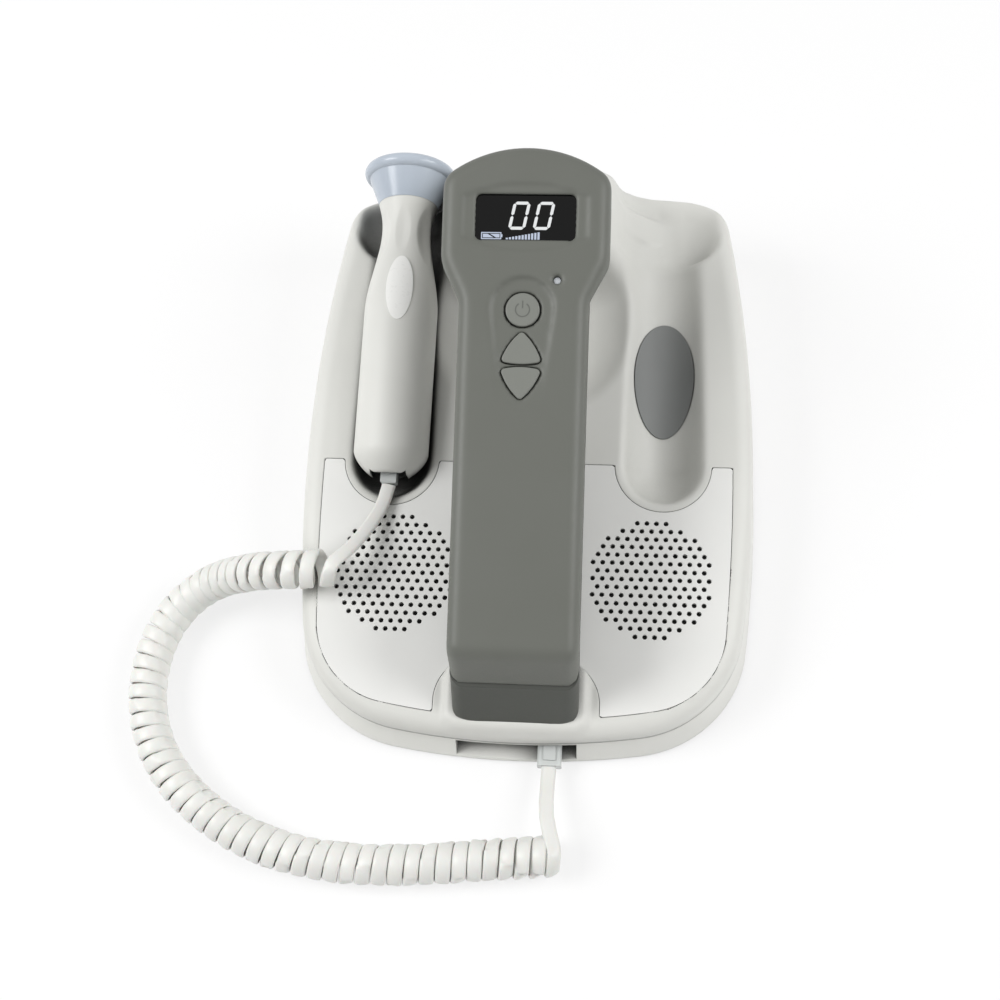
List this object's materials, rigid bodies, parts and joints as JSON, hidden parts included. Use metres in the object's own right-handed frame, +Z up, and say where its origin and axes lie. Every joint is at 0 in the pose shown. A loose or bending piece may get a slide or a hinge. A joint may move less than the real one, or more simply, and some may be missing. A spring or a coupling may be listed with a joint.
{
  "type": "fetal doppler monitor",
  "caption": "Table-top fetal doppler monitor: sloping base with probe cradles and loudspeakers, bridging console handle, probe on a curly cord.",
  "frame": {"origin": "on the table, under the middle of the object without its cord", "axes": "+X to the user's right, +Y from the user to the rear, +Z up"},
  "size_m": [0.3001, 0.3511, 0.1488],
  "materials": {
    "housing": "fine spark-textured injection-moulded ABS, light grey",
    "base_skirt": "fine spark-textured injection-moulded ABS, light grey",
    "grille": "satin injection-moulded ABS, paler grey",
    "console": "fine spark-textured injection-moulded ABS, dark warm grey",
    "key": "satin moulded keycap, mid grey",
    "pad": "matte thermoplastic elastomer, mid grey",
    "lens": "polished dark acrylic window",
    "display": "black display module",
    "lamp": "polished clear acrylic light pipe",
    "board": "solder-masked glass-fibre board",
    "chip": "moulded epoxy",
    "screw": "zinc-plated steel",
    "foot": "moulded rubber",
    "cell": "sleeved metal can",
    "jack": "moulded black nylon",
    "clear_plug": "clear moulded polycarbonate",
    "probe_body": "fine satin injection-moulded ABS, light grey",
    "probe_head": "glossy soft elastomer, blue grey",
    "label": "plain white polyester film",
    "crystal": "lead zirconate ceramic with silvered faces",
    "backing": "damping resin",
    "speaker_frame": "black painted pressed steel",
    "speaker_cone": "pressed paper",
    "gasket": "closed-cell foam",
    "sheet": "moulded silicone",
    "cord": "extruded PVC, off white"
  },
  "bodies": {
    "monitor": {"top_housing": "housing", "bottom_housing": "base_skirt", "rubber_feet": "foot", "housing_screws": "screw", "battery_cover": "base_skirt", "battery_pack": "cell", "main_board": "board", "board_components": "chip", "board_screws": "screw", "front_jack": "jack", "jack_board": "board", "charger_inlet": "jack", "right_speaker_panel": "grille", "left_speaker_panel": "grille", "right_speaker_frame": "speaker_frame", "left_speaker_frame": "speaker_frame", "right_speaker_cone": "speaker_cone", "left_speaker_cone": "speaker_cone", "right_speaker_gasket": "gasket", "left_speaker_gasket": "gasket", "right_cradle_pad": "pad", "left_cradle_pad": "pad", "console_cover": "console", "console_base": "console", "console_screws": "screw", "display_lens": "lens", "display_module": "display", "console_board": "board", "key_switches": "chip", "dome_sheet": "sheet", "lamp_pipe": "lamp", "base_plug": "clear_plug", "cord_probe_tail": "cord", "cord_coil": "cord", "cord_base_tail": "cord"},
    "probe": {"probe_upper_shell": "probe_body", "probe_lower_shell": "probe_body", "probe_cap": "probe_head", "probe_crystals": "crystal", "probe_backing": "backing", "probe_board": "board", "probe_jack": "jack", "probe_label": "label", "probe_plug": "clear_plug"},
    "power_key": {"power_button": "key"},
    "volume_up_key": {"volume_up_button": "key"},
    "volume_down_key": {"volume_down_button": "key"}
  },
  "joints": [
    {"name": "power_press", "type": "slide", "parent": "monitor", "child": "power_key", "axis": [0, -0.3322, 0.9432], "range_m": [-0.001, 0], "stiffness_N_per_m": 900},
    {"name": "volume_up_press", "type": "slide", "parent": "monitor", "child": "volume_up_key", "axis": [0, -0.3322, 0.9432], "range_m": [-0.001, 0], "stiffness_N_per_m": 900},
    {"name": "volume_down_press", "type": "slide", "parent": "monitor", "child": "volume_down_key", "axis": [0, -0.3322, 0.9432], "range_m": [-0.001, 0], "stiffness_N_per_m": 900},
    {"name": "probe_lift", "type": "slide", "parent": "monitor", "child": "probe", "axis": [0, -0.1219, 0.9925], "range_m": [0, 0.07]}
  ]
}
